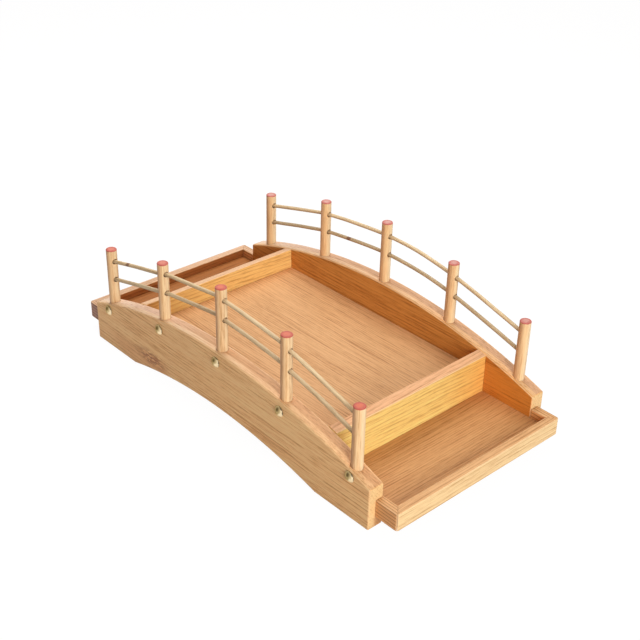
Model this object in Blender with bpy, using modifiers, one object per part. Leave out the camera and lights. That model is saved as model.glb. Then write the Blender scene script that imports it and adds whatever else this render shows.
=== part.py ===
"""Sushi bridge: an arched wooden serving stand with a deck, two end trays and a railing on each side.

Metres, +Z up. The bridge runs along X, with its right end at +X and its back at +Y. The origin is on the
table, under the middle of the bridge.
"""

import math

import bmesh
import bpy

# Side boards: arched planks on flat feet
BOARD_LENGTH = 0.448
BOARD_THICKNESS = 0.018
BOARD_END_HEIGHT = 0.046
BOARD_CROWN_HEIGHT = 0.0855
BOARD_EDGE_RADIUS = 0.0025
FOOT_LENGTH = 0.0735
ARCH_RISE = 0.0185
OVERALL_WIDTH = 0.247

# Posts, standing in sockets in the boards' top edges
POSTS_PER_SIDE = 5
POST_DIAMETER = 0.012
POST_END_INSET = 0.0265
END_POST_RISE = 0.0662
MIDDLE_POST_RISE = 0.0715
POST_CHAMFER = 0.0008
SOCKET_DEPTH = 0.022

# Rails, threaded through the posts and ending inside the end posts
RAIL_DIAMETER = 0.004
UPPER_RAIL_DROP = 0.014
LOWER_RAIL_DROP = 0.036
RAIL_PAST_AXIS = 0.002
RAIL_BEND_LENGTH = 0.008

# Domed studs that pin the posts' feet
STUD_HEAD_DIAMETER = 0.012
STUD_HEAD_HEIGHT = 0.003
STUD_SHANK_DIAMETER = 0.0018
STUD_SHANK_LENGTH = 0.011
STUD_POINT_LENGTH = 0.002
STUD_DROP = 0.0115
END_STUD_DROP = 0.008

# Middle compartment
DECK_TOP = 0.0445
DECK_THICKNESS = 0.010
DIVIDER_THICKNESS = 0.011
DIVIDER_SHOULDER = 0.012

# End trays, partly between the side boards and partly standing out past them
TRAY_DEPTH = 0.064
TRAY_PROJECTION = 0.0285
TRAY_BOTTOM = 0.0125
TRAY_WALL_HEIGHT = 0.0195
TRAY_WALL_THICKNESS = 0.010
TRAY_FLOOR_THICKNESS = 0.0095

# Joinery: the deck and the tray floors have thinner tongues along their edges, flush with their undersides
TONGUE_THICKNESS = 0.005
HOUSING_DEPTH = 0.003
EASED_EDGE = 0.001
CLEARANCE = 0.0003

# Facets of the round shapes
TOP_EDGE_STEPS = 36
ARCH_STEPS = 20
POST_FACETS = 20
RAIL_BEVEL_RESOLUTION = 3
STUD_FACETS = 16
DOME_STEPS = 4
HOLE_FACETS = 10
SHARP_ANGLE = math.radians(30)

# Places worked out from the sizes above
BOARD_HALF = BOARD_LENGTH / 2
OUTER_HALF = OVERALL_WIDTH / 2
INNER_HALF = OUTER_HALF - BOARD_THICKNESS
POST_LINE = OUTER_HALF - BOARD_THICKNESS / 2
END_POST_X = BOARD_HALF - POST_END_INSET
POST_SPACING = 2 * END_POST_X / (POSTS_PER_SIDE - 1)
DIVIDER_OUTER = BOARD_HALF - TRAY_DEPTH
DIVIDER_INNER = DIVIDER_OUTER - DIVIDER_THICKNESS
TRAY_END = BOARD_HALF + TRAY_PROJECTION
TRAY_HALF = INNER_HALF + TRAY_WALL_THICKNESS
TRAY_RIM = TRAY_BOTTOM + TRAY_WALL_HEIGHT
TRAY_TONGUE_TOP = TRAY_BOTTOM + TONGUE_THICKNESS
DECK_BOTTOM = DECK_TOP - DECK_THICKNESS
DECK_TONGUE_TOP = DECK_BOTTOM + TONGUE_THICKNESS
HOUSED_HALF = INNER_HALF + HOUSING_DEPTH
SIDES = (("front", -1), ("back", 1))
ENDS = (("left", -1), ("right", 1))

# Finishes: colour, roughness, metallic
FINISHES = {
    "board_wood": ((0.50, 0.30, 0.13), 0.5, 0.0),
    "post_wood": ((0.66, 0.44, 0.22), 0.5, 0.0),
    "rail_bamboo": ((0.58, 0.44, 0.24), 0.5, 0.0),
    "stud_brass": ((0.62, 0.52, 0.28), 0.35, 1.0),
    "deck_wood": ((0.56, 0.33, 0.14), 0.5, 0.0),
    "divider_wood": ((0.68, 0.40, 0.16), 0.5, 0.0),
    "tray_floor_wood": ((0.55, 0.30, 0.13), 0.5, 0.0),
    "tray_wall_wood": ((0.70, 0.44, 0.20), 0.5, 0.0),
}


def arc_height(x, half_span, end_height, rise):
    """Height at x of a circle's arc that stands rise above its ends, half_span from the middle."""
    radius = (half_span**2 + rise**2) / (2 * rise)
    return end_height + rise - radius + math.sqrt(radius**2 - x**2)


def board_top(x):
    return arc_height(x, BOARD_HALF, BOARD_END_HEIGHT, BOARD_CROWN_HEIGHT - BOARD_END_HEIGHT)


def post_top(x):
    """The posts stand a little higher out of the board the nearer they are to the middle."""
    rise = MIDDLE_POST_RISE + (END_POST_RISE - MIDDLE_POST_RISE) * abs(x) / END_POST_X
    return board_top(x) + rise


def post_places():
    return [(n + 1, -END_POST_X + n * POST_SPACING) for n in range(POSTS_PER_SIDE)]


def steps(start, end, count):
    return [start + (end - start) * n / count for n in range(count + 1)]


def new_collection(name):
    collection = bpy.data.collections.new(name)
    bpy.context.scene.collection.children.link(collection)
    return collection


def make_material(name, colour, roughness, metallic):
    material = bpy.data.materials.new(name)
    material.use_nodes = True
    shader = material.node_tree.nodes["Principled BSDF"]
    shader.inputs["Base Color"].default_value = (*colour, 1.0)
    shader.inputs["Roughness"].default_value = roughness
    shader.inputs["Metallic"].default_value = metallic
    return material


def add_object(name, data, collection):
    obj = bpy.data.objects.new(name, data)
    collection.objects.link(obj)
    return obj


def add_bmesh(name, shape, collection):
    mesh = bpy.data.meshes.new(name)
    shape.to_mesh(mesh)
    shape.free()
    return add_object(name, mesh, collection)


def add_box(name, collection, x, y, z):
    """A box between two limits on each axis, with its origin at its centre."""
    limits = [sorted(pair) for pair in (x, y, z)]
    shape = bmesh.new()
    bmesh.ops.create_cube(shape, size=1)
    bmesh.ops.scale(shape, vec=[high - low for low, high in limits], verts=shape.verts)
    obj = add_bmesh(name, shape, collection)
    obj.location = [(low + high) / 2 for low, high in limits]
    return obj


def add_cylinder(name, collection, radius, length, facets):
    """A cylinder along its own Z, with its origin at its centre."""
    shape = bmesh.new()
    bmesh.ops.create_cone(
        shape, cap_ends=True, segments=facets, radius1=radius, radius2=radius, depth=length
    )
    return add_bmesh(name, shape, collection)


def mesh_from_curve(curve_object):
    """Puts a welded mesh object, with each flat face in one piece, in the place of a curve object."""
    bpy.context.view_layer.update()
    graph = bpy.context.evaluated_depsgraph_get()
    mesh = bpy.data.meshes.new_from_object(curve_object.evaluated_get(graph))
    shape = bmesh.new()
    shape.from_mesh(mesh)
    bmesh.ops.remove_doubles(shape, verts=shape.verts, dist=1e-6)
    bmesh.ops.recalc_face_normals(shape, faces=shape.faces)
    bmesh.ops.dissolve_limit(shape, angle_limit=0.002, verts=shape.verts, edges=shape.edges)
    shape.to_mesh(mesh)
    shape.free()
    name = curve_object.name
    collection = curve_object.users_collection[0]
    matrix = curve_object.matrix_world.copy()
    bpy.data.objects.remove(curve_object, do_unlink=True)
    obj = add_object(name, mesh, collection)
    obj.matrix_world = matrix
    return obj


def add_outline(name, collection, outline, thickness):
    """A flat outline in the object's XY plane, filled and given a thickness along its Z."""
    curve = bpy.data.curves.new(name, "CURVE")
    curve.dimensions = "2D"
    curve.fill_mode = "BOTH"
    curve.extrude = thickness / 2
    spline = curve.splines.new("POLY")
    spline.points.add(len(outline) - 1)
    for point, (x, y) in zip(spline.points, outline):
        point.co = (x, y, 0, 1)
    spline.use_cyclic_u = True
    return mesh_from_curve(add_object(name, curve, collection))


def add_rod(name, collection, path, radius):
    """A round rod along a path, as a curve with filled caps."""
    curve = bpy.data.curves.new(name, "CURVE")
    curve.dimensions = "3D"
    curve.bevel_depth = radius
    curve.bevel_resolution = RAIL_BEVEL_RESOLUTION
    curve.use_fill_caps = True
    spline = curve.splines.new("POLY")
    spline.points.add(len(path) - 1)
    for point, place in zip(spline.points, path):
        point.co = (*place, 1)
    spline.use_smooth = True
    return add_object(name, curve, collection)


def ease(obj, radius, segments):
    """Rounds the sharp edges of an object."""
    bevel = obj.modifiers.new("eased edges", "BEVEL")
    bevel.width = radius
    bevel.segments = segments
    bevel.limit_method = "ANGLE"
    bevel.angle_limit = SHARP_ANGLE


def cut(obj, cutters, solver="EXACT"):
    for cutter in cutters:
        boolean = obj.modifiers.new(cutter.name, "BOOLEAN")
        boolean.operation = "DIFFERENCE"
        boolean.solver = solver
        boolean.object = cutter


def finish_part(obj, material, root):
    obj.data.materials.append(material)
    obj.parent = root
    if obj.type == "MESH":
        obj.data.shade_smooth()
        obj.data.set_sharp_from_angle(angle=SHARP_ANGLE)


def board_outline():
    """The side board's face: feet and arch from left to right, then the round top edge back."""
    arch_half = BOARD_HALF - FOOT_LENGTH
    arch_xs = steps(-arch_half, arch_half, ARCH_STEPS)
    arch = [(x, arc_height(x, arch_half, 0, ARCH_RISE)) for x in arch_xs]
    top = [(x, board_top(x)) for x in steps(BOARD_HALF, -BOARD_HALF, TOP_EDGE_STEPS)]
    return [(-BOARD_HALF, 0), *arch, (BOARD_HALF, 0), *top]


def make_housings(cutters):
    """Grooves across both side boards' inner faces for the deck, the dividers and the tray floors."""
    across = (-HOUSED_HALF, HOUSED_HALF)
    deck = (DECK_BOTTOM - CLEARANCE, DECK_TONGUE_TOP + CLEARANCE)
    floor = (TRAY_BOTTOM - CLEARANCE, TRAY_TONGUE_TOP + CLEARANCE)
    divider = (TRAY_BOTTOM, board_top(DIVIDER_OUTER) - DIVIDER_SHOULDER + CLEARANCE)
    housings = [add_box("deck_housing", cutters, (-DIVIDER_INNER, DIVIDER_INNER), across, deck)]
    for end, x_sign in ENDS:
        floor_x = (x_sign * (DIVIDER_INNER - CLEARANCE), x_sign * TRAY_END)
        divider_x = (x_sign * (DIVIDER_INNER - CLEARANCE), x_sign * (DIVIDER_OUTER + CLEARANCE))
        housings.append(add_box(f"{end}_floor_housing", cutters, floor_x, across, floor))
        housings.append(add_box(f"{end}_divider_housing", cutters, divider_x, across, divider))
    return housings


def stud_height(x):
    drop = END_STUD_DROP if abs(x) > END_POST_X - POST_SPACING / 2 else STUD_DROP
    return board_top(x) - drop


def make_stud_hole(name, cutters, x, y_sign):
    """The hole for a stud's shank, through the board's outer face and into the post's foot."""
    start = OUTER_HALF + STUD_HEAD_HEIGHT
    end = OUTER_HALF - STUD_SHANK_LENGTH
    hole = add_cylinder(name, cutters, STUD_SHANK_DIAMETER / 2 + CLEARANCE, start - end, HOLE_FACETS)
    hole.location = (x, y_sign * (start + end) / 2, stud_height(x))
    hole.rotation_euler.x = math.pi / 2
    return hole


def make_socket(name, cutters, x, y_sign):
    bottom = board_top(x) - SOCKET_DEPTH
    top = board_top(x) + POST_DIAMETER
    socket = add_cylinder(name, cutters, POST_DIAMETER / 2 + CLEARANCE, top - bottom, POST_FACETS)
    socket.location = (x, y_sign * POST_LINE, (bottom + top) / 2)
    return socket


def make_board(side, y_sign, parts, cuts):
    board = add_outline(f"{side}_side_board", parts, board_outline(), BOARD_THICKNESS)
    board.rotation_euler.x = math.pi / 2
    board.location.y = y_sign * POST_LINE
    ease(board, BOARD_EDGE_RADIUS, 2)
    cut(board, cuts, "MANIFOLD")
    return board


def rail_height(x, drop):
    """A rail is straight from post to post, and the outer stretches run on past the end posts' axes."""
    bay = min(max(math.floor((x + END_POST_X) / POST_SPACING), 0), POSTS_PER_SIDE - 2)
    left = bay * POST_SPACING - END_POST_X
    share = (x - left) / POST_SPACING
    return post_top(left) * (1 - share) + post_top(left + POST_SPACING) * share - drop


def rail_path(drop, overrun):
    """Points along a rail in the posts' plane, with a bend inside each inner post."""
    end = END_POST_X + RAIL_PAST_AXIS + overrun
    half_bend = RAIL_BEND_LENGTH / 2
    bends = [x + shift for _, x in post_places()[1:-1] for shift in (-half_bend, half_bend)]
    return [(x, 0, rail_height(x, drop)) for x in (-end, *bends, end)]


def make_rail(name, y_sign, drop, parts, cutters):
    """A rail, and the longer and fatter rod that cuts its holes in the posts."""
    rail = add_rod(name, parts, rail_path(drop, 0), RAIL_DIAMETER / 2)
    hole = add_rod(f"{name}_holes", cutters, rail_path(drop, CLEARANCE), RAIL_DIAMETER / 2 + CLEARANCE)
    for rod in (rail, hole):
        rod.location.y = y_sign * POST_LINE
    return rail, mesh_from_curve(hole)


def make_post(name, x, y_sign, parts, cuts):
    bottom = board_top(x) - SOCKET_DEPTH + CLEARANCE
    top = post_top(x)
    post = add_cylinder(name, parts, POST_DIAMETER / 2, top - bottom, POST_FACETS)
    post.location = (x, y_sign * POST_LINE, (bottom + top) / 2)
    ease(post, POST_CHAMFER, 1)
    cut(post, cuts)
    return post


def stud_profile():
    """Half of a stud's section, from the top of its dome down to its point: (radius, height) pairs."""
    head = STUD_HEAD_DIAMETER / 2
    shank = STUD_SHANK_DIAMETER / 2
    sphere = (head**2 + STUD_HEAD_HEIGHT**2) / (2 * STUD_HEAD_HEIGHT)
    half_angle = math.asin(head / sphere)
    dome = [
        (sphere * math.sin(angle), STUD_HEAD_HEIGHT - sphere * (1 - math.cos(angle)))
        for angle in steps(0, half_angle, DOME_STEPS)
    ]
    end = CLEARANCE - STUD_SHANK_LENGTH
    return [*dome, (shank, 0), (shank, end + STUD_POINT_LENGTH), (0, end)]


def make_stud(name, x, y_sign, parts):
    shape = bmesh.new()
    points = [shape.verts.new((radius, 0, height)) for radius, height in stud_profile()]
    for first, second in zip(points, points[1:]):
        shape.edges.new((first, second))
    stud = add_bmesh(name, shape, parts)
    screw = stud.modifiers.new("turned", "SCREW")
    screw.steps = STUD_FACETS
    screw.render_steps = STUD_FACETS
    screw.use_merge_vertices = True
    screw.merge_threshold = 1e-5
    screw.use_smooth_shade = True
    stud.rotation_euler.x = -y_sign * math.pi / 2
    stud.location = (x, y_sign * (OUTER_HALF + CLEARANCE), stud_height(x))
    return stud


def make_railing(side, y_sign, parts, cutters):
    """One side's rails, posts and studs. Returns them with the holes that they need in the board."""
    upper, upper_holes = make_rail(f"{side}_upper_rail", y_sign, UPPER_RAIL_DROP, parts, cutters)
    lower, lower_holes = make_rail(f"{side}_lower_rail", y_sign, LOWER_RAIL_DROP, parts, cutters)
    posts = []
    studs = []
    board_cuts = []
    for number, x in post_places():
        stud_hole = make_stud_hole(f"{side}_stud_hole_{number}", cutters, x, y_sign)
        socket = make_socket(f"{side}_socket_{number}", cutters, x, y_sign)
        posts.append(
            make_post(f"{side}_post_{number}", x, y_sign, parts, (upper_holes, lower_holes, stud_hole))
        )
        studs.append(make_stud(f"{side}_stud_{number}", x, y_sign, parts))
        board_cuts += [socket, stud_hole]
    return (upper, lower), posts, studs, board_cuts


def make_deck(parts, cutters):
    """A flat board with a tongue along each side board."""
    half = DIVIDER_INNER - CLEARANCE
    half_width = HOUSED_HALF - CLEARANCE
    deck = add_box("deck", parts, (-half, half), (-half_width, half_width), (DECK_BOTTOM, DECK_TOP))
    shoulders = [
        add_box(
            f"deck_{side}_shoulder",
            cutters,
            (-DIVIDER_OUTER, DIVIDER_OUTER),
            (y_sign * (INNER_HALF - CLEARANCE), y_sign * OUTER_HALF),
            (DECK_TONGUE_TOP, BOARD_CROWN_HEIGHT),
        )
        for side, y_sign in SIDES
    ]
    cut(deck, shoulders)
    return deck


def make_divider(end, x_sign, parts, cutters):
    """An upright board whose top follows the side boards and whose ends are housed below a shoulder."""
    foot = TRAY_TONGUE_TOP + CLEARANCE
    outline = [
        (x_sign * DIVIDER_INNER, foot),
        (x_sign * DIVIDER_OUTER, foot),
        (x_sign * DIVIDER_OUTER, board_top(DIVIDER_OUTER)),
        (x_sign * DIVIDER_INNER, board_top(DIVIDER_INNER)),
    ]
    divider = add_outline(f"{end}_divider", parts, outline, 2 * (HOUSED_HALF - CLEARANCE))
    divider.rotation_euler.x = math.pi / 2
    ease(divider, EASED_EDGE, 2)
    shoulder = board_top(DIVIDER_OUTER) - DIVIDER_SHOULDER
    shoulders = [
        add_box(
            f"{end}_{side}_shoulder",
            cutters,
            (x_sign * (DIVIDER_INNER - DIVIDER_THICKNESS), x_sign * (DIVIDER_OUTER + DIVIDER_THICKNESS)),
            (y_sign * (INNER_HALF - CLEARANCE), y_sign * OUTER_HALF),
            (shoulder, BOARD_CROWN_HEIGHT),
        )
        for side, y_sign in SIDES
    ]
    cut(divider, shoulders)
    return divider


def make_tray_floor(end, x_sign, parts, cutters):
    """A raised panel with tongues under the divider, in the side boards and under the end wall."""
    housed = HOUSED_HALF - CLEARANCE
    clear = INNER_HALF - CLEARANCE
    wall = TRAY_END - TRAY_WALL_THICKNESS
    tip = wall + HOUSING_DEPTH - CLEARANCE
    half_outline = [(DIVIDER_INNER, housed), (BOARD_HALF, housed), (BOARD_HALF, clear), (tip, clear)]
    outline = [(x_sign * x, -y) for x, y in half_outline]
    outline += [(x_sign * x, y) for x, y in reversed(half_outline)]
    floor = add_outline(f"{end}_tray_floor", parts, outline, TRAY_FLOOR_THICKNESS)
    floor.location.z = TRAY_BOTTOM + TRAY_FLOOR_THICKNESS / 2
    across = (-OUTER_HALF, OUTER_HALF)
    along = (0, x_sign * BOARD_HALF)
    upper = (TRAY_TONGUE_TOP, BOARD_END_HEIGHT)
    limits = [
        ("divider", (0, x_sign * (DIVIDER_OUTER + CLEARANCE)), across),
        ("end_wall", (x_sign * (wall - CLEARANCE), x_sign * TRAY_END), across),
        ("front", along, (-clear, -OUTER_HALF)),
        ("back", along, (clear, OUTER_HALF)),
    ]
    cut(floor, [add_box(f"{end}_floor_{name}_shoulder", cutters, x, y, upper) for name, x, y in limits])
    return floor


def make_mitre(name, cutters, x_sign, y_sign, keep):
    """Trims a tray wall at 45 degrees at one corner: keep is 1 for an end wall and -1 for a side."""
    size = 4 * TRAY_WALL_THICKNESS
    shift = keep * (CLEARANCE - size) / 2 / math.sqrt(2)
    mitre = add_box(name, cutters, (0, size), (0, size), (0, TRAY_RIM + TRAY_BOTTOM))
    mitre.location.x = x_sign * (TRAY_END + shift)
    mitre.location.y = y_sign * (TRAY_HALF - shift)
    mitre.rotation_euler.z = math.pi / 4
    return mitre


def make_end_wall(end, x_sign, parts, cutters):
    inner = TRAY_END - TRAY_WALL_THICKNESS
    wall = add_box(
        f"{end}_end_wall",
        parts,
        (x_sign * inner, x_sign * TRAY_END),
        (-TRAY_HALF, TRAY_HALF),
        (TRAY_BOTTOM, TRAY_RIM),
    )
    ease(wall, EASED_EDGE, 2)
    rabbet = add_box(
        f"{end}_floor_rabbet",
        cutters,
        (x_sign * (inner - HOUSING_DEPTH), x_sign * (inner + HOUSING_DEPTH)),
        (-INNER_HALF, INNER_HALF),
        (0, TRAY_TONGUE_TOP + CLEARANCE),
    )
    mitres = [
        make_mitre(f"{end}_{side}_end_wall_mitre", cutters, x_sign, y_sign, 1) for side, y_sign in SIDES
    ]
    cut(wall, [rabbet, *mitres])
    return wall


def make_tray_side(end, x_sign, side, y_sign, parts, cutters):
    wall = add_box(
        f"{end}_{side}_tray_side",
        parts,
        (x_sign * (BOARD_HALF + CLEARANCE), x_sign * TRAY_END),
        (y_sign * INNER_HALF, y_sign * TRAY_HALF),
        (TRAY_BOTTOM, TRAY_RIM),
    )
    ease(wall, EASED_EDGE, 2)
    cut(wall, [make_mitre(f"{end}_{side}_side_mitre", cutters, x_sign, y_sign, -1)])
    return wall


def main():
    for obj in list(bpy.data.objects):
        bpy.data.objects.remove(obj, do_unlink=True)
    parts = new_collection("sushi_bridge")
    cutters = new_collection("cutters")
    wood = {name: make_material(name, *finish) for name, finish in FINISHES.items()}
    root = add_object("bridge_origin", None, parts)

    housings = make_housings(cutters)
    for side, y_sign in SIDES:
        rails, posts, studs, board_cuts = make_railing(side, y_sign, parts, cutters)
        board = make_board(side, y_sign, parts, housings + board_cuts)
        finish_part(board, wood["board_wood"], root)
        for material, pieces in (("rail_bamboo", rails), ("post_wood", posts), ("stud_brass", studs)):
            for piece in pieces:
                finish_part(piece, wood[material], root)

    finish_part(make_deck(parts, cutters), wood["deck_wood"], root)
    for end, x_sign in ENDS:
        finish_part(make_divider(end, x_sign, parts, cutters), wood["divider_wood"], root)
        finish_part(make_tray_floor(end, x_sign, parts, cutters), wood["tray_floor_wood"], root)
        finish_part(make_end_wall(end, x_sign, parts, cutters), wood["tray_wall_wood"], root)
        for side, y_sign in SIDES:
            tray_side = make_tray_side(end, x_sign, side, y_sign, parts, cutters)
            finish_part(tray_side, wood["tray_wall_wood"], root)

    for cutter in cutters.objects:
        cutter.hide_render = True
        cutter.display_type = "WIRE"


main()
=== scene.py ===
"""Sushi bridge, dressed: wooden pieces with grain, bamboo rails and brass studs, on a white studio floor.

Metres, +Z up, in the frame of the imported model: the bridge runs along X and its front is at -Y.
"""

import itertools
import math

import bmesh
import bpy
from mathutils import Matrix, Vector, noise


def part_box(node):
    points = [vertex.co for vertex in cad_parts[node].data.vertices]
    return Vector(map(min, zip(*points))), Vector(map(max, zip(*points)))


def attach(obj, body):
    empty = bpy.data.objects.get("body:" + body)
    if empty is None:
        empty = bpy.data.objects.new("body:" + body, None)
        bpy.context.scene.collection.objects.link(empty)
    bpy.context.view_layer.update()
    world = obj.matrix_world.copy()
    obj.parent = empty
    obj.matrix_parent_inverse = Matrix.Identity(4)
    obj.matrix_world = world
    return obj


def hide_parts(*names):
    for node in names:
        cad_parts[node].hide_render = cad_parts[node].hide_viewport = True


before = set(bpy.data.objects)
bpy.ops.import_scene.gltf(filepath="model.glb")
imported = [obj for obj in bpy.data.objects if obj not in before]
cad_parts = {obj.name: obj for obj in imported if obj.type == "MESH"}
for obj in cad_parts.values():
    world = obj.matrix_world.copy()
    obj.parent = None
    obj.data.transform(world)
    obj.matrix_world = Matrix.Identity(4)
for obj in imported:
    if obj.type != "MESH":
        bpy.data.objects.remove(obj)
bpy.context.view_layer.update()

X, Y, Z = range(3)
SIDES = (("front", -1), ("back", 1))
ENDS = (("left", -1), ("right", 1))


def span(node, axis):
    """A CAD node's lowest and highest place along an axis, to a hundredth of a millimetre."""
    low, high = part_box(node)
    return round(low[axis], 5), round(high[axis], 5)


# Sizes that the frame gives
BOARD_HALF = span("back_side_board", X)[1]
INNER_HALF, OUTER_HALF = span("back_side_board", Y)
BOARD_CROWN = span("back_side_board", Z)[1]
POSTS_PER_SIDE = sum(name.startswith("back_post_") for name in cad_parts)
END_POST_X = sum(span(f"back_post_{POSTS_PER_SIDE}", X)) / 2
DECK_BOTTOM, DECK_TOP = span("deck", Z)
DIVIDER_INNER, DIVIDER_OUTER = span("right_divider", X)
TRAY_END = span("right_end_wall", X)[1]
TRAY_BOTTOM, TRAY_RIM = span("right_end_wall", Z)
TRAY_FLOOR_TOP = span("right_tray_floor", Z)[1]

# Other sizes of the solids
BOARD_END_HEIGHT = 0.046
ARCH_HALF = 0.1505
ARCH_RISE = 0.0185
POST_RADIUS = 0.006
END_POST_RISE = 0.0662
MIDDLE_POST_RISE = 0.0715
SOCKET_DEPTH = 0.022
RAIL_RADIUS = 0.002
RAIL_DROPS = {"upper": 0.014, "lower": 0.036}
RAIL_PAST_AXIS = 0.002
STUD_RADIUS = 0.006
STUD_HEIGHT = 0.003
STUD_SHANK_RADIUS = 0.0009
STUD_SHANK_LENGTH = 0.011
STUD_POINT_LENGTH = 0.002
STUD_DROP = 0.0115
END_STUD_DROP = 0.008
DIVIDER_SHOULDER = 0.012
TRAY_WALL = 0.010
TONGUE = 0.005
HOUSING = 0.003
CLEARANCE = 0.0003

# Places worked out from the sizes
BOARD_RISE = BOARD_CROWN - BOARD_END_HEIGHT
POST_LINE = (INNER_HALF + OUTER_HALF) / 2
POST_SPACING = 2 * END_POST_X / (POSTS_PER_SIDE - 1)
RAIL_END = END_POST_X + RAIL_PAST_AXIS
HOUSED_HALF = INNER_HALF + HOUSING - CLEARANCE
CLEAR_HALF = INNER_HALF - CLEARANCE
TRAY_HALF = INNER_HALF + TRAY_WALL
TRAY_WALL_FACE = TRAY_END - TRAY_WALL

# Rounded edges: radius and steps
BOARD_EDGE = (0.0015, 5)
EASED_EDGE = (0.001, 4)
FINE_EDGE = (0.0005, 2)
TRAY_CORNER = 0.003

# Posts: those cut short or tall by hand, how worn their paint is from the left, and their uneven shafts
POST_SHIFTS = {("front", 2): -0.003, ("front", 4): 0.0022}
PAINT_WEAR = {"front": (0.32, 0.38, 0.06, 0.12, 0.0), "back": (1.0, 1.0, 1.0, 0.9, 0.8)}
POST_CHAMFER = 0.0007
POST_RIM = 0.0009
POST_PLAIN_END = 0.004
POST_UNEVENNESS = 0.006
POST_NOISE = (160, 160, 26)
POST_NOISE_SHIFT = (9, 5)
POST_DISHING = 0.00008
POST_TOP_RINGS = (0.6, 0.35, 0.1)

# In each bay between posts: how far a rail's ends lie above their drilled places, and how far it bows up
RAIL_LIFTS = {
    "front": ((-0.0010, -0.0028), (-0.0014, 0.0024), (0.0009, 0.0026), (0.0012, 0.0018)),
    "back": ((-0.0007, -0.0013), (-0.0018, -0.0018), (-0.0018, -0.0008), (-0.0009, -0.0016)),
}
RAIL_BOWS = {"front": (0.0003, 0.0003, 0.0014, 0.0015), "back": (0.0004, 0.0014, 0.0027, 0.0008)}
RAIL_BEND = 0.004
RAIL_BEND_STEPS = 8
RAIL_WANDER = 0.0005
RAIL_WANDER_NOISE = (14, 7.3, 100)
RAIL_WANDER_SHIFTS = ((0, 0, 0), (0, 0, 31.7))
RAIL_SWELL = 0.03
RAIL_SWELL_NOISE = (30, 3.1, 50)
RAIL_FULLNESS = 1.06
RAIL_PLAY = 0.0011

# Dull rails, from 0 to 1, and the places of their dark marks along X
RAIL_DULLNESS = {"front": {"upper": 0.0, "lower": 0.2}, "back": {"upper": 0.1, "lower": 0.42}}
RAIL_MARKS = {("front", "upper"): (-0.164,), ("back", "lower"): (-0.058,)}
RAIL_MARK_HALF = 0.0038

# Stud heads: a flared neck, a thin rim and a dome with small dents
STUD_TIP_RADIUS = 0.0001
STUD_FLARE_RADIUS = 0.0012
STUD_FLARE_DEPTH = 0.0002
STUD_RIM_INSET = 0.0003
STUD_RIM_HEIGHT = 0.00012
STUD_DOME = (0.96, 0.02)
STUD_DENT = 0.00022
STUD_DENT_NOISE = (420, 420, 2.7)
STUD_DENTED_FROM = 0.0002

# Fineness of the shapes
SHARP_ANGLE = math.radians(30)
ARCH_STEPS = 56
BOARD_TOP_STEPS = 96
POST_FACETS = 36
POST_STEPS = 14
POST_RIM_STEPS = 5
RAIL_STEPS_AND_FACETS = (220, 16)
RAIL_HOLE_STEPS_AND_FACETS = (80, 20)
STUD_FACETS = 40
STUD_HOLE_FACETS = 16
STUD_DOME_STEPS = 14
TRAY_CORNER_STEPS = 8
CUTTER_MARGIN = 0.01
MITRE_SIZE = 4 * TRAY_WALL

# Seeds, which tell the pieces' grain and unevenness apart
SEED_STEP = 0.61
DECK_SEED = 3.3
TRAY_SIDE_SEED = 0.2


# Places and curves

def arc_height(x, half_span, end_height, rise):
    """Height at x of a circle's arc that stands rise above its ends, half_span from the middle."""
    radius = (half_span**2 + rise**2) / (2 * rise)
    return end_height + rise - radius + math.sqrt(radius**2 - x**2)


def board_top(x):
    return arc_height(x, BOARD_HALF, BOARD_END_HEIGHT, BOARD_RISE)


def post_top(x):
    return board_top(x) + MIDDLE_POST_RISE + (END_POST_RISE - MIDDLE_POST_RISE) * abs(x) / END_POST_X


def post_places():
    """Number and x of each post of a side, from the left."""
    return [(n + 1, -END_POST_X + n * POST_SPACING) for n in range(POSTS_PER_SIDE)]


def stud_height(x):
    drop = END_STUD_DROP if abs(x) > END_POST_X - POST_SPACING / 2 else STUD_DROP
    return board_top(x) - drop


def steps(start, end, count):
    return [start + (end - start) * n / count for n in range(count + 1)]


def circle(count, radius):
    turns = [2 * math.pi * n / count for n in range(count)]
    return [(radius * math.cos(turn), radius * math.sin(turn)) for turn in turns]


def bumpy(place, scales, shift=(0, 0, 0)):
    """Smooth noise from -1 to 1 at a place that is scaled and then shifted."""
    return noise.noise([part * scale + move for part, scale, move in zip(place, scales, shift)])


# Shapes

def add_object(name, data):
    obj = bpy.data.objects.new(name, data)
    bpy.context.scene.collection.objects.link(obj)
    return obj


def add_shape(name, shape):
    """Turns a bmesh into a linked object."""
    bmesh.ops.recalc_face_normals(shape, faces=shape.faces)
    mesh = bpy.data.meshes.new(name)
    shape.to_mesh(mesh)
    shape.free()
    return add_object(name, mesh)


CUTTERS = []


def add_cutter(name, shape):
    """Adds a shape that only cuts others, and is removed when all is done."""
    cutter = add_shape(name, shape)
    CUTTERS.append(cutter)
    return cutter


def shifted(ring):
    """A ring of points that starts one point later."""
    return ring[1:] + ring[:1]


def prism(outline, axis, low, high):
    """A flat outline drawn out along an axis from low to high."""
    shape = bmesh.new()
    rings = [[(*pair[:axis], level, *pair[axis:]) for pair in outline] for level in (low, high)]
    near, far = [[shape.verts.new(place) for place in ring] for ring in rings]
    shape.faces.new(near)
    shape.faces.new(reversed(far))
    for corners in zip(near, far, shifted(far), shifted(near)):
        shape.faces.new(corners)
    bmesh.ops.recalc_face_normals(shape, faces=shape.faces)
    return shape


def box_shape(x, y, z):
    (x0, x1), (y0, y1), z_pair = sorted(x), sorted(y), sorted(z)
    return prism([(x0, y0), (x1, y0), (x1, y1), (x0, y1)], Z, *z_pair)


def round_edges(shape, rounding):
    radius, segments = rounding
    edges = [edge for edge in shape.edges if edge.calc_face_angle(0) > SHARP_ANGLE]
    bmesh.ops.bevel(
        shape, geom=edges, offset=radius, segments=segments, profile=0.5, affect="EDGES", clamp_overlap=True
    )
    return shape


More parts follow.
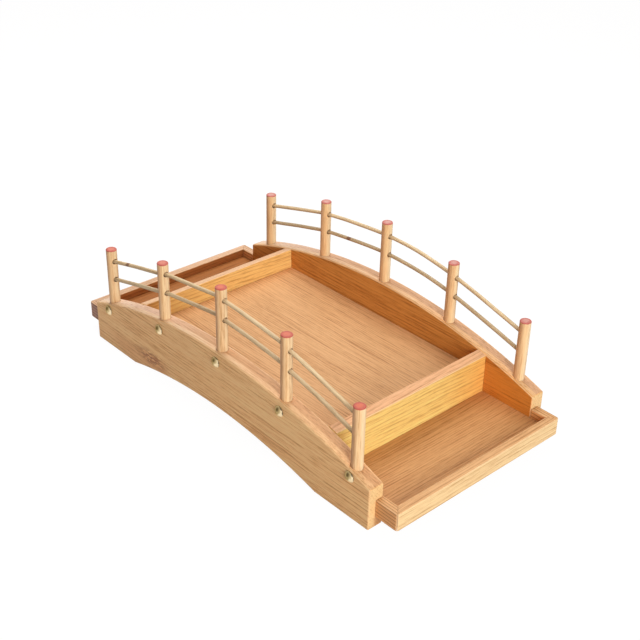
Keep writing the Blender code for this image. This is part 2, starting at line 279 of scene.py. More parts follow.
def rings_shape(rings):
    """A closed skin through rings of points, with a flat cap on the first and the last ring."""
    shape = bmesh.new()
    loops = [[shape.verts.new(place) for place in ring] for ring in rings]
    for first, second in zip(loops, loops[1:]):
        for corners in zip(first, shifted(first), shifted(second), second):
            shape.faces.new(corners)
    shape.faces.new(loops[0])
    shape.faces.new(loops[-1])
    return shape


def turned_shape(profile, facets, place):
    """A skin turned from (radius, height) pairs. place says where each of its points goes."""
    rings = [[place(*pair, height) for pair in circle(facets, radius)] for radius, height in profile]
    return rings_shape(rings)


def settle(piece):
    """Applies a piece's modifiers to its mesh."""
    bpy.context.view_layer.update()
    graph = bpy.context.evaluated_depsgraph_get()
    mesh = bpy.data.meshes.new_from_object(
        piece.evaluated_get(graph), preserve_all_data_layers=True, depsgraph=graph
    )
    old = piece.data
    piece.modifiers.clear()
    piece.data = mesh
    bpy.data.meshes.remove(old)


def carve(piece, cutters, solver="EXACT"):
    """Cuts shapes out of a piece."""
    for cutter in cutters:
        boolean = piece.modifiers.new(cutter.name, "BOOLEAN")
        boolean.operation = "DIFFERENCE"
        boolean.solver = solver
        boolean.object = cutter
    settle(piece)


def write_attribute(piece, name, values):
    """Gives each point of a piece its number or vector, for a material to read."""
    kind, key = ("FLOAT_VECTOR", "vector") if isinstance(values[0], tuple) else ("FLOAT", "value")
    attribute = piece.data.attributes.new(name, kind, "POINT")
    for item, value in zip(attribute.data, values):
        setattr(item, key, value)


def finish_piece(piece, node, material, seed):
    """Smooths a piece, gives it its material and puts it in the place of its CAD node."""
    piece.data.shade_smooth()
    piece.data.set_sharp_from_angle(angle=SHARP_ANGLE)
    weighted = piece.modifiers.new("even shading", "WEIGHTED_NORMAL")
    weighted.keep_sharp = True
    settle(piece)
    write_attribute(piece, "seed", [seed] * len(piece.data.vertices))
    piece.data.materials.clear()
    piece.data.materials.append(material)
    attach(piece, "root")
    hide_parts(node)


# Side boards

def board_outline():
    arch = [(x, arc_height(x, ARCH_HALF, 0, ARCH_RISE)) for x in steps(-ARCH_HALF, ARCH_HALF, ARCH_STEPS)]
    top = [(x, board_top(x)) for x in steps(BOARD_HALF, -BOARD_HALF, BOARD_TOP_STEPS)]
    return [(-BOARD_HALF, 0), *arch, (BOARD_HALF, 0), *top]


def make_housings():
    """Grooves across both side boards for the deck, the dividers and the tray floors."""
    across = (-INNER_HALF - HOUSING, INNER_HALF + HOUSING)
    deck = (DECK_BOTTOM - CLEARANCE, DECK_BOTTOM + TONGUE + CLEARANCE)
    floor = (TRAY_BOTTOM - CLEARANCE, TRAY_BOTTOM + TONGUE + CLEARANCE)
    divider = (TRAY_BOTTOM, board_top(DIVIDER_OUTER) - DIVIDER_SHOULDER + CLEARANCE)
    housings = [add_cutter("deck_housing", box_shape((-DIVIDER_INNER, DIVIDER_INNER), across, deck))]
    for end, sign in ENDS:
        floor_x = (sign * (DIVIDER_INNER - CLEARANCE), sign * TRAY_END)
        divider_x = (sign * (DIVIDER_INNER - CLEARANCE), sign * (DIVIDER_OUTER + CLEARANCE))
        housings.append(add_cutter(f"{end}_floor_housing", box_shape(floor_x, across, floor)))
        housings.append(add_cutter(f"{end}_divider_housing", box_shape(divider_x, across, divider)))
    return housings


def make_socket(name, x, sign):
    low, high = board_top(x) - SOCKET_DEPTH, board_top(x) + 2 * POST_RADIUS
    ring = circle(POST_FACETS, POST_RADIUS + CLEARANCE)
    outline = [(x + dx, sign * POST_LINE + dy) for dx, dy in ring]
    return add_cutter(name, prism(outline, Z, low, high))


def make_stud_hole(name, x, sign):
    ring = circle(STUD_HOLE_FACETS, STUD_SHANK_RADIUS + CLEARANCE)
    outline = [(x + dx, stud_height(x) + dz) for dx, dz in ring]
    ends = sorted((sign * (OUTER_HALF + STUD_HEIGHT), sign * (OUTER_HALF - STUD_SHANK_LENGTH)))
    return add_cutter(name, prism(outline, Y, *ends))


def make_board(side, sign, cutters):
    faces = sorted((sign * INNER_HALF, sign * OUTER_HALF))
    board = add_shape(f"{side}_board", round_edges(prism(board_outline(), Y, *faces), BOARD_EDGE))
    carve(board, cutters, "MANIFOLD")
    return board


# Rails

def bay_place(x):
    """The bay between two posts in which x lies, and how far across the bay it is, from 0 to 1."""
    place = (x + END_POST_X) / POST_SPACING
    bay = min(max(math.floor(place), 0), POSTS_PER_SIDE - 2)
    return bay, place - bay


def straight_height(x, side):
    """Height at x of the straight lines that join the posts' tops, with the lifts of one side's rails."""
    bay, share = bay_place(x)
    left, right = RAIL_LIFTS[side][bay]
    start = post_top(bay * POST_SPACING - END_POST_X) + left
    end = post_top((bay + 1) * POST_SPACING - END_POST_X) + right
    return start * (1 - share) + end * share


def rail_point(x, side, drop, sway):
    """A point of a rail: straight from post to post, bent inside the posts, a little bowed and uneven."""
    shifts = steps(-RAIL_BEND, RAIL_BEND, RAIL_BEND_STEPS)
    height = sum(straight_height(x + shift, side) for shift in shifts) / len(shifts)
    bay, share = bay_place(x)
    bow = abs(math.sin(math.pi * share))
    wander = RAIL_WANDER * bow**2
    aside, above = [bumpy((x, sway, drop), RAIL_WANDER_NOISE, shift) for shift in RAIL_WANDER_SHIFTS]
    return Vector((x, aside * wander, height - drop + above * wander + RAIL_BOWS[side][bay] * bow))


def rail_rings(side, sign, level, sway, radius, end, count, facets):
    """Rings along a rail from -end to end, with each point's place along and around the rail."""
    drop = RAIL_DROPS[level]
    places = [rail_point(x, side, drop, sway) for x in steps(-end, end, count)]
    across = Vector((0, 1, 0))
    line = Vector((0, sign * POST_LINE, 0))
    rings = []
    grain = []
    travelled = 0.0
    for n, place in enumerate(places):
        if n:
            travelled += (place - places[n - 1]).length
        ahead = places[min(n + 1, count)] - places[max(n - 1, 0)]
        ahead.normalize()
        above = ahead.cross(across)
        size = radius * (1 + RAIL_SWELL * bumpy((place.x, sway, drop), RAIL_SWELL_NOISE))
        ring = []
        for cosine, sine in circle(facets, 1):
            ring.append(place + (across * cosine - above * sine) * size + line)
            grain.append((travelled, cosine * radius, sine * radius))
        rings.append(ring)
    return rings, grain


def make_rail(side, sign, level, sway):
    radius = RAIL_RADIUS * RAIL_FULLNESS
    rings, grain = rail_rings(side, sign, level, sway, radius, RAIL_END, *RAIL_STEPS_AND_FACETS)
    rail = add_shape(f"{side}_{level}_rod", rings_shape(rings))
    places = [vertex.co.x for vertex in rail.data.vertices]
    marks = RAIL_MARKS.get((side, level), ())
    darkness = [sum(math.exp(-(((x - mark) / RAIL_MARK_HALF) ** 2)) for mark in marks) for x in places]
    write_attribute(rail, "grain", grain)
    write_attribute(rail, "dull", [RAIL_DULLNESS[side][level]] * len(places))
    write_attribute(rail, "mark", darkness)
    return rail


def make_rail_hole(side, sign, level, sway):
    radius, end = RAIL_RADIUS + RAIL_PLAY, RAIL_END + CLEARANCE
    rings, _ = rail_rings(side, sign, level, sway, radius, end, *RAIL_HOLE_STEPS_AND_FACETS)
    return add_cutter(f"{side}_{level}_rail_hole", rings_shape(rings))


# Posts

def post_profile(foot, top):
    """Half of a post's section, from its foot up to the middle of its top: (radius, height) pairs."""
    profile = [(POST_RADIUS - POST_CHAMFER, foot), (POST_RADIUS, foot + POST_CHAMFER)]
    profile += [(POST_RADIUS, z) for z in steps(foot + POST_PLAIN_END, top - POST_PLAIN_END, POST_STEPS)]
    for turn in steps(0, math.pi / 2, POST_RIM_STEPS):
        radius = POST_RADIUS - POST_RIM + POST_RIM * math.cos(turn)
        profile.append((radius, top - POST_RIM + POST_RIM * math.sin(turn)))
    profile += [(POST_RADIUS * share, top - POST_DISHING * (1 - share)) for share in POST_TOP_RINGS]
    return profile


def make_post(name, x, sign, top, wear, cutters):
    """A turned post: a slightly uneven shaft with a softened rim at its top and a chamfer at its foot."""
    y = sign * POST_LINE
    shift = (POST_NOISE_SHIFT[0] * x, POST_NOISE_SHIFT[1] * sign, 0)

    def place(dx, dy, z):
        size = min(1 + POST_UNEVENNESS * bumpy((dx, dy, z), POST_NOISE, shift), 1.0)
        return x + dx * size, y + dy * size, z

    profile = post_profile(board_top(x) - SOCKET_DEPTH + CLEARANCE, top)
    post = add_shape(name, turned_shape(profile, POST_FACETS, place))
    carve(post, cutters)
    points = [vertex.co for vertex in post.data.vertices]
    write_attribute(post, "wear", [wear] * len(points))
    write_attribute(post, "below_top", [top - point.z for point in points])
    write_attribute(post, "off_axis", [math.hypot(point.x - x, point.y - y) for point in points])
    return post


# Studs

def stud_profile():
    """Half of a stud's section, from its point up to the middle of its dome: (radius, height) pairs."""
    sphere = (STUD_RADIUS**2 + STUD_HEIGHT**2) / (2 * STUD_HEIGHT)
    half_angle = math.asin(STUD_RADIUS / sphere)
    tip = CLEARANCE - STUD_SHANK_LENGTH
    point = [(STUD_TIP_RADIUS, tip), (STUD_SHANK_RADIUS, tip + STUD_POINT_LENGTH)]
    neck = [(STUD_SHANK_RADIUS, -STUD_FLARE_DEPTH), (STUD_FLARE_RADIUS, 0)]
    rim = [(STUD_RADIUS - STUD_RIM_INSET, 0), (STUD_RADIUS, STUD_RIM_HEIGHT)]
    start, end = [half_angle * share for share in STUD_DOME]
    dome = [
        (sphere * math.sin(angle), STUD_HEIGHT - sphere * (1 - math.cos(angle)))
        for angle in steps(start, end, STUD_DOME_STEPS)
    ]
    return point + neck + rim + dome


def make_stud(name, x, sign, seed):
    z = stud_height(x)

    def place(dx, dz, height):
        dent = min(0.0, bumpy((dx, dz, seed), STUD_DENT_NOISE, (seed, 0, 0))) * STUD_DENT
        lift = height + (dent if height > STUD_DENTED_FROM else 0)
        return x + dx, sign * (OUTER_HALF + CLEARANCE + lift), z + dz

    stud = add_shape(name, turned_shape(stud_profile(), STUD_FACETS, place))
    spots = [((v.co.x - x) / STUD_RADIUS, (v.co.z - z) / STUD_RADIUS, 0) for v in stud.data.vertices]
    write_attribute(stud, "spot", spots)
    return stud


# Deck, dividers and trays

def make_deck():
    """A flat board whose edges have tongues in the side boards."""
    ledge = DECK_BOTTOM + TONGUE
    half = [(HOUSED_HALF, DECK_BOTTOM), (HOUSED_HALF, ledge), (CLEAR_HALF, ledge), (CLEAR_HALF, DECK_TOP)]
    outline = half + [(-y, z) for y, z in reversed(half)]
    length = DIVIDER_INNER - CLEARANCE
    return add_shape("deck_panel", round_edges(prism(outline, X, -length, length), FINE_EDGE))


def make_divider(end, sign):
    """An upright board whose ends sit in housings, with a shoulder cut out above each of them."""
    foot = TRAY_BOTTOM + TONGUE + CLEARANCE
    left, right = sorted((sign * DIVIDER_INNER, sign * DIVIDER_OUTER))
    outline = [(left, foot), (right, foot), (right, board_top(right)), (left, board_top(left))]
    shape = round_edges(prism(outline, Y, -HOUSED_HALF, HOUSED_HALF), EASED_EDGE)
    divider = add_shape(f"{end}_divider_panel", shape)
    along = (left - CUTTER_MARGIN, right + CUTTER_MARGIN)
    height = (board_top(DIVIDER_OUTER) - DIVIDER_SHOULDER, BOARD_CROWN)
    cutters = []
    for side, y_sign in SIDES:
        across = (y_sign * CLEAR_HALF, y_sign * OUTER_HALF)
        cutters.append(add_cutter(f"{end}_{side}_shoulder", box_shape(along, across, height)))
    carve(divider, cutters)
    return divider


def make_tray_floor(end, sign):
    """A raised panel with tongues under the divider, in the side boards and under the end wall."""
    tip = TRAY_WALL_FACE + HOUSING - CLEARANCE
    half = [(DIVIDER_INNER, HOUSED_HALF), (BOARD_HALF, HOUSED_HALF)]
    half += [(BOARD_HALF, CLEAR_HALF), (tip, CLEAR_HALF)]
    outline = [(sign * x, -y) for x, y in half] + [(sign * x, y) for x, y in reversed(half)]
    floor = add_shape(f"{end}_floor_panel", prism(outline, Z, TRAY_BOTTOM, TRAY_FLOOR_TOP))
    upper = (TRAY_BOTTOM + TONGUE, BOARD_END_HEIGHT)
    across = (-OUTER_HALF, OUTER_HALF)
    along = (0, sign * BOARD_HALF)
    ledges = (
        ("divider", (0, sign * (DIVIDER_OUTER + CLEARANCE)), across),
        ("wall", (sign * (TRAY_WALL_FACE - CLEARANCE), sign * TRAY_END), across),
        ("front", along, (-CLEAR_HALF, -OUTER_HALF)),
        ("back", along, (CLEAR_HALF, OUTER_HALF)),
    )
    cutters = [add_cutter(f"{end}_{name}_ledge", box_shape(x, y, upper)) for name, x, y in ledges]
    carve(floor, cutters)
    return floor


def make_mitre(name, x_sign, y_sign, keep):
    """A box turned by 45 degrees that trims a wall at a tray's corner: keep is 1 at an end, -1 at a side."""
    shift = keep * (CLEARANCE - MITRE_SIZE) / 2 / math.sqrt(2)
    centre = Vector((x_sign * (TRAY_END + shift), y_sign * (TRAY_HALF - shift)))
    reach = MITRE_SIZE / math.sqrt(2)
    corners = [(reach, 0), (0, reach), (-reach, 0), (0, -reach)]
    outline = [(centre.x + dx, centre.y + dy) for dx, dy in corners]
    return add_cutter(name, prism(outline, Z, 0, TRAY_RIM + TRAY_BOTTOM))


def rounded_corner(x_sign, y_sign):
    """Plan of the rounded outer corner of a tray, from the tray's side round to its end."""
    corner = []
    for turn in steps(math.pi / 2, 0, TRAY_CORNER_STEPS):
        x = TRAY_END - TRAY_CORNER + TRAY_CORNER * math.cos(turn)
        y = TRAY_HALF - TRAY_CORNER + TRAY_CORNER * math.sin(turn)
        corner.append((x_sign * x, y_sign * y))
    return corner


def make_end_wall(end, sign):
    outline = [(sign * TRAY_WALL_FACE, TRAY_HALF), *rounded_corner(sign, 1)]
    outline += [*reversed(rounded_corner(sign, -1)), (sign * TRAY_WALL_FACE, -TRAY_HALF)]
    wall = add_shape(f"{end}_wall", round_edges(prism(outline, Z, TRAY_BOTTOM, TRAY_RIM), EASED_EDGE))
    rabbet = box_shape(
        (sign * (TRAY_WALL_FACE - HOUSING), sign * (TRAY_WALL_FACE + HOUSING)),
        (-INNER_HALF, INNER_HALF),
        (0, TRAY_BOTTOM + TONGUE + CLEARANCE),
    )
    cutters = [add_cutter(f"{end}_rabbet", rabbet)]
    cutters += [make_mitre(f"{end}_{side}_wall_mitre", sign, y_sign, 1) for side, y_sign in SIDES]
    carve(wall, cutters)
    return wall


def make_tray_side(end, x_sign, side, y_sign):
    start = x_sign * (BOARD_HALF + CLEARANCE)
    outline = [(start, y_sign * TRAY_HALF), *rounded_corner(x_sign, y_sign)]
    outline += [(x_sign * TRAY_END, y_sign * INNER_HALF), (start, y_sign * INNER_HALF)]
    shape = prism(outline, Z, TRAY_BOTTOM, TRAY_RIM)
    wall = add_shape(f"{end}_{side}_side", round_edges(shape, EASED_EDGE))
    carve(wall, [make_mitre(f"{end}_{side}_side_mitre", x_sign, y_sign, -1)])
    return wall


# Material nodes

# Noises: scale along the grain, scale across it, detail and roughness
PATTERNS = {
    "sway": (7, 22, 2.0, 0.5),
    "jitter": (5, 60, 3.0, 0.5),
    "streak": (5, 260, 4.0, 0.65),
    "band": (8, 430, 4.0, 0.7),
    "fibre": (60, 800, 3.0, 0.7),
    "cloud": (8, 26, 3.0, 0.5),
    "pore": (90, 1900, 1.0, 0.5),
    "warmth": (6, 40, 2.0, 0.5),
    "speck": (150, 420, 3.0, 0.6),
    "brush": (260, 420, 3.0, 0.5),
    "tarnish": (330, 330, 4.0, 0.6),
    "grit": (1700, 1700, 3.0, 0.5),
}
NOISE_MIDDLE = 0.5


class Nodes:
    """Wires up the nodes of one material or world."""

    def __init__(self, owner):
        owner.use_nodes = True
        self.owner = owner
        self.tree = owner.node_tree

    def feed(self, socket, value):
        if isinstance(value, bpy.types.NodeSocket):
            self.tree.links.new(value, socket)
        elif isinstance(value, tuple) and len(socket.default_value) == 4:
            socket.default_value = (*value, 1.0)
        else:
            socket.default_value = value

    def add(self, kind, *values, **settings):
        """A node whose first inputs get the values. A setting is another input or a property of the node."""
        node = self.tree.nodes.new(kind)
        for key, value in settings.items():
            if key in node.inputs:
                self.feed(node.inputs[key], value)
            else:
                setattr(node, key, value)
        for socket, value in zip(node.inputs, values):
            self.feed(socket, value)
        return node

    def set(self, **values):
        """Feeds the surface's inputs, whose names are written with _ for a space."""
        for name, value in values.items():
            self.feed(self.tree.nodes["Principled BSDF"].inputs[name.replace("_", " ")], value)

    def math(self, operation, *values):
        return self.add("ShaderNodeMath", *values, operation=operation).outputs[0]

    def scale_add(self, value, factor, start):
        return self.math("MULTIPLY_ADD", value, factor, start)

    def times(self, first, *others):
        """The product of all the values."""
        for other in others:
            first = self.math("MULTIPLY", first, other)
        return first

    def vector(self, operation, *values):
        return self.add("ShaderNodeVectorMath", *values, operation=operation).outputs[0]

    def length(self, vector):
        return self.add("ShaderNodeVectorMath", vector, operation="LENGTH").outputs["Value"]

    def mix(self, factor, first, second):
        """Mixes two colours, whose sockets follow the node's sockets for numbers and vectors."""
        node = self.add("ShaderNodeMix", factor, data_type="RGBA")
        self.feed(node.inputs[6], first)
        self.feed(node.inputs[7], second)
        return node.outputs[2]

    def pattern(self, point, name):
        """The outputs of one of PATTERNS, at a point whose first axis lies along the grain."""
        along, across, detail, roughness = PATTERNS[name]
        scaled = self.vector("MULTIPLY", point, (along, across, across))
        return self.add("ShaderNodeTexNoise", scaled, Scale=1.0, Detail=detail, Roughness=roughness).outputs

    def ramp(self, value, stops, interpolation="LINEAR"):
        node = self.add("ShaderNodeValToRGB", value)
        node.color_ramp.interpolation = interpolation
        elements = node.color_ramp.elements
        while len(elements) < len(stops):
            elements.new(0.5)
        for element, (place, colour) in zip(elements, stops):
            element.position = place
            element.color = (*colour, 1.0) if isinstance(colour, tuple) else (colour, colour, colour, 1.0)
        return node.outputs[0]

    def fade(self, value, low, high):
        """0 at low, 1 at high, whichever is greater, and a smooth step between."""
        node = self.add("ShaderNodeMapRange", value, low, high, 0.0, 1.0, interpolation_type="SMOOTHSTEP")
        return node.outputs[0]

    def attribute(self, name, output="Fac"):
        return self.add("ShaderNodeAttribute", attribute_name=name).outputs[output]

    def parts(self, vector):
        return self.add("ShaderNodeSeparateXYZ", vector).outputs

    def combine(self, *values):
        return self.add("ShaderNodeCombineXYZ", *values).outputs[0]

    def point(self):
        return self.add("ShaderNodeTexCoord").outputs["Object"]

    def place(self, axis):
        """A surface's place along an axis of the bridge."""
        return self.parts(self.point())[axis]

    def normal(self, axis):
        """How squarely a surface faces along an axis, from -1 to 1."""
        return self.parts(self.add("ShaderNodeTexCoord").outputs["Normal"])[axis]

    def outward(self, axis):
        """How squarely a surface faces away from the bridge's middle along an axis."""
        return self.times(self.normal(axis), self.math("SIGN", self.place(axis)))

    def bumps(self, height, strength, distance):
        bump = self.add("ShaderNodeBump", Height=height, Strength=strength, Distance=distance)
        self.set(Normal=bump.outputs[0])


# Wood in general

GRAIN_FIRST = {"X": (X, Y, Z), "Y": (Y, X, Z), "Z": (Z, X, Y)}
SEED_SHIFT = (1.37, 1, 0.73)
RING_STOPS = ((0.0, 0.0), (0.5, 0.2), (0.84, 1.0), (1.0, 0.0))
STREAKS = (0.50, 0.78)
PORES = (0.63, 0.75)
PATTERN_MEANS = {"ring": 0.32, "streak": 0.2, "band": 0.5, "fibre": 0.5, "cloud": 0.5}
MEAN_SHADE = 0.5
SHADE_STOPS = (0.08, 0.5, 0.98)
PALE_GAINS = (1.14, 1.20, 1.26)
PALE_LIMIT = 0.96
DARK_GAINS = (0.66, 0.56, 0.46)
PORE_GAIN = 0.4
FIBRE_SHEEN = 0.22
CLOUD_SHEEN = 0.16
WOOD_SPECULAR = 0.18
RING_RELIEF = 0.5
PORE_RELIEF = -0.8
WOOD_RELIEF = 0.0003
# Pale edges: partly wear, partly a painted highlight
PALE_WEAR_AND_HIGHLIGHT = (0.92, 0.61, 0.35)

# Masks: the values at which each is 0 and 1
ON_EDGE = (0.985, 0.90)
FACING_UP = (0.75, 0.95)
FACING_OUT = (0.8, 0.97)
FACING_IN = (-0.6, -0.95)
LOW_HALF = (0.01, -0.01)
HIGH_HALF = (-0.01, 0.01)
FAR_BACK = (0.02, 0.115)

# Words for surfaces: what is measured, along which axis, and its mask
SURFACES = {
    "top": (Nodes.normal, Z, FACING_UP),
    "inner": (Nodes.outward, X, FACING_IN),
    "left": (Nodes.place, X, LOW_HALF),
    "right": (Nodes.place, X, HIGH_HALF),
    "front": (Nodes.place, Y, LOW_HALF),
    "far": (Nodes.place, Y, FAR_BACK),
}

# A wood's grain sizes, the weights of its patterns, its sheen and relief, and the pale wear and painted
# highlight of its edges
LOOK = dict(
    sway=0.004, pith=(0.03, -0.09), taper=0.06, ring_gap=0.0024, jitter=2.2,
    ring=0.38, streak=0.46, band=1.9, fibre=1.4, cloud=0.6, pores=0.18,
    roughness=0.48, bump=0.35, worn=0.7, patches=(0.2, 0.55),
)


def grain_point(nodes, axis):
    """A point with the grain along its first axis, moved by the piece's seed."""
    if axis == "RAIL":
        point = nodes.attribute("grain", "Vector")
    else:
        parts = nodes.parts(nodes.point())
        point = nodes.combine(*[parts[n] for n in GRAIN_FIRST[axis]])
    seed = nodes.attribute("seed")
    return nodes.vector("ADD", point, nodes.combine(*[nodes.times(seed, share) for share in SEED_SHIFT]))


def add_grain(nodes, axis, look):
    """The wood's patterns: growth rings, streaks, bands, fibres, clouds and pores, each from 0 to 1."""
    moved = grain_point(nodes, axis)
    sway = nodes.vector("SUBTRACT", nodes.pattern(moved, "sway")["Color"], (NOISE_MIDDLE,) * 3)
    flowing = nodes.vector("ADD", moved, nodes.vector("MULTIPLY", sway, (0, look["sway"], look["sway"])))
    pith = nodes.vector("SUBTRACT", flowing, (0, *look["pith"]))
    away = nodes.length(nodes.vector("MULTIPLY", pith, (look["taper"], 1, 1)))
    jitter = nodes.times(nodes.pattern(moved, "jitter")[0], look["jitter"])
    turns = nodes.math("ADD", nodes.math("DIVIDE", away, look["ring_gap"]), jitter)
    return {
        "moved": moved,
        "ring": nodes.ramp(nodes.math("FRACT", turns), RING_STOPS, "EASE"),
        "streak": nodes.fade(nodes.pattern(flowing, "streak")[0], *STREAKS),
        "band": nodes.pattern(flowing, "band")[0],
        "fibre": nodes.pattern(flowing, "fibre")[0],
        "cloud": nodes.pattern(moved, "cloud")[0],
        "pore": nodes.fade(nodes.pattern(flowing, "pore")[0], *PORES),
    }


def add_swing(nodes, total, grain, key, amount):
    """total, plus amount times how far a pattern lies above its mean."""
    swing = nodes.math("SUBTRACT", grain[key], PATTERN_MEANS[key])
    return nodes.scale_add(swing, amount, total)


def weigh(nodes, grain, look):
    """Adds the patterns up to one darkness."""
    total = MEAN_SHADE
    for key in PATTERN_MEANS:
        total = add_swing(nodes, total, grain, key, look[key])
    return total


def tinted(nodes, shade, body):
    """The wood's colour at a darkness: pale early wood, the body colour and redder late wood."""
    pale = tuple(min(gain * level, PALE_LIMIT) for gain, level in zip(PALE_GAINS, body))
    dark = tuple(gain * level for gain, level in zip(DARK_GAINS, body))
    return nodes.ramp(shade, list(zip(SHADE_STOPS, (pale, body, dark))))


def start_wood(name, axis, look):
    """A new wood: its nodes, its patterns and its darkness."""
    nodes = Nodes(bpy.data.materials.new(name))
    grain = add_grain(nodes, axis, look)
    return nodes, grain, weigh(nodes, grain, look)


def two_tone(nodes, share, shade, first, second):
    """Wood that goes from one body colour to another."""
    return nodes.mix(share, tinted(nodes, shade, first), tinted(nodes, shade, second))


def face_mask(nodes, words):
    """1 on the surfaces for which each of the words in SURFACES holds, and 0 elsewhere."""
    mask = 1.0
    for word in words.split():
        measure, axis, limits = SURFACES[word]
        mask = nodes.times(nodes.fade(measure(nodes, axis), *limits), mask)
    return mask


def edge_mask(nodes, straight):
    """1 on rounded edges and 0 on flat faces. A straight piece has all its faces square to the axes."""
    x, y, z = [nodes.math("ABSOLUTE", nodes.normal(axis)) for axis in (X, Y, Z)]
    if straight:
        across = nodes.math("MAXIMUM", x, z)
    else:
        across = nodes.math("SQRT", nodes.math("ADD", nodes.times(x, x), nodes.times(z, z)))
    return nodes.fade(nodes.math("MAXIMUM", across, y), *ON_EDGE)


def worn_and_highlit_edges(nodes, grain, colour, look, straight):
    """Patches of pale wear and painted highlight along the rounded edges."""
    patches = nodes.fade(grain["cloud"], *look["patches"])
    return nodes.mix(nodes.times(edge_mask(nodes, straight), patches, look["worn"]), colour, PALE_WEAR_AND_HIGHLIGHT)


def finish_wood(nodes, grain, colour, look):
    """Pores, sheen and relief, on top of the colour."""
    pore_colour = tuple(PORE_GAIN * level for level in look["body"])
    colour = nodes.mix(nodes.times(grain["pore"], look["pores"]), colour, pore_colour)
    sheen = add_swing(nodes, look["roughness"], grain, "fibre", FIBRE_SHEEN)
    sheen = add_swing(nodes, sheen, grain, "cloud", CLOUD_SHEEN)
    nodes.set(Base_Color=colour, Roughness=sheen, Specular_IOR_Level=WOOD_SPECULAR)
    relief = nodes.scale_add(grain["ring"], RING_RELIEF, grain["fibre"])
    relief = nodes.scale_add(grain["pore"], PORE_RELIEF, relief)
    nodes.bumps(relief, look["bump"], WOOD_RELIEF)
    return nodes.owner


def plain_wood(name, axis, look, faces=()):
    """A board with edges partly worn pale and partly a painted highlight. faces are pairs of a face_mask's
    words and the colour of those surfaces.
    """
    nodes, grain, shade = start_wood(name, axis, look)
    colour = tinted(nodes, shade, look["body"])
    for words, body in faces:
        colour = nodes.mix(face_mask(nodes, words), colour, tinted(nodes, shade, body))
    colour = worn_and_highlit_edges(nodes, grain, colour, look, True)
    return finish_wood(nodes, grain, colour, look)


# Deck, divider and tray woods

DECK = dict(LOOK, body=(0.70, 0.375, 0.165), worn=0.5)
DIVIDER = dict(
    LOOK, body=(0.91, 0.57, 0.20), pith=(0.21, -0.02), taper=0.16, ring_gap=0.0028, ring=0.34, streak=0.25,
    band=1.4,
)
FLOOR = dict(LOOK, body=(0.60, 0.295, 0.11), pith=(0.19, -0.05), worn=0.4)
WALL = dict(LOOK, body=(0.86, 0.60, 0.31), ring=0.34, ring_gap=0.0028)
SIDE = dict(
    LOOK, body=(0.74, 0.37, 0.15), ring=1.1, ring_gap=0.0023, jitter=0.45, streak=0.2, band=1.0, worn=0.6,
)
# Painted shade, red-brown: on the end walls' inner faces and under the trays on the boards' ends
PAINTED_SHADE_BROWN = (0.54, 0.23, 0.08)
# The dividers: the right one's own tone, a deeper tone at its far end, pink tops, and paler tops on the left
# as painted light
DIVIDER_FACES = (
    ("right", (0.935, 0.655, 0.22)),
    ("right far", (0.89, 0.48, 0.125)),
    ("top", (0.82, 0.435, 0.22)),
    ("left top", (0.92, 0.54, 0.30)),
)
# Painted shade on the left tray's floor
LEFT_FLOOR_PAINTED_SHADE = (("left", (0.43, 0.155, 0.041)),)
# Tray wall tops, paler on the left as painted light
RIMS = (("top", (0.745, 0.405, 0.178)), ("left top", (0.78, 0.47, 0.28)))
# The end walls' inner faces in painted shade
WALL_FACES = (("inner", PAINTED_SHADE_BROWN), *RIMS)
# The front left tray side darker, as painted shade
SIDE_FACES = (("left front", (0.46, 0.25, 0.18)), *RIMS)


# Board wood

BOARD = dict(
    LOOK, body=(0.90, 0.53, 0.237), streak=0.6, band=2.4, fibre=1.8, cloud=0.7, worn=0.4,
    patches=(0.15, 0.45),
)
REDDER_BODY = (0.89, 0.505, 0.22)
REDDER_PATCHES = (0.35, 0.68)
# Painted shade and warm bounce light on the boards' inner faces: browner along the deck, more orange in the
# trays
INSIDE_PAINTED_SHADE = (0.615, 0.252, 0.057)
TRAY_INSIDE_PAINTED_SHADE = (0.64, 0.225, 0.037)
TRAY_STRETCH = (0.14, 0.18)

# The board's top, from front to back: a line, a band of painted highlight, a sawn stretch and another band
# of painted highlight, in metres from its middle
TOP_RAGGEDNESS = 0.0015
PAST_LINE = (-0.0080, -0.0064)
FRONT_HIGHLIGHT_BAND = (-0.0010, -0.0024)
BACK_HIGHLIGHT_BAND = (0.0064, 0.0080)
FRONT_BOARD_LINE = (0.76, 0.43, 0.19)
BACK_BOARD_LINE = (0.74, 0.30, 0.063)
TOP_CONTRAST = (0.65, 0.175)
SAWN = (0.69, 0.36, 0.168)
# Paler sawn colours: painted light towards the left, strongest at the far left, and a share of the paler
# colour on the back board
PALE_SAWN = (0.81, 0.51, 0.34)
SAWN_FAR_LEFT_LIGHT = (0.91, 0.62, 0.43)
SAWN_PAINTED_LIGHT = (0.02, -0.16)
SAWN_PALER_AT_BACK = 0.35
SAWN_FAR_LEFT = (-0.13, -0.20)
# Painted highlight along the top's edges, paler towards the left
TOP_EDGE_HIGHLIGHT = (0.89, 0.515, 0.255)
PALE_TOP_EDGE_HIGHLIGHT = (0.92, 0.60, 0.365)
TOP_EDGE_HIGHLIGHT_PALER = (0.15, -0.15)

# The ends: cream end grain, made paler as painted light, with a painted shadow of the tray low down in the
# inner corner
END_GRAIN_AND_LIGHT = (0.86, 0.58, 0.28)
END_CONTRAST = (0.5, 0.2)
TRAY_SHADOW_Y = (0.1185, 0.1135)
TRAY_SHADOW_Z = (0.016, 0.010)
TRAY_SHADOW_STRENGTH = 0.75

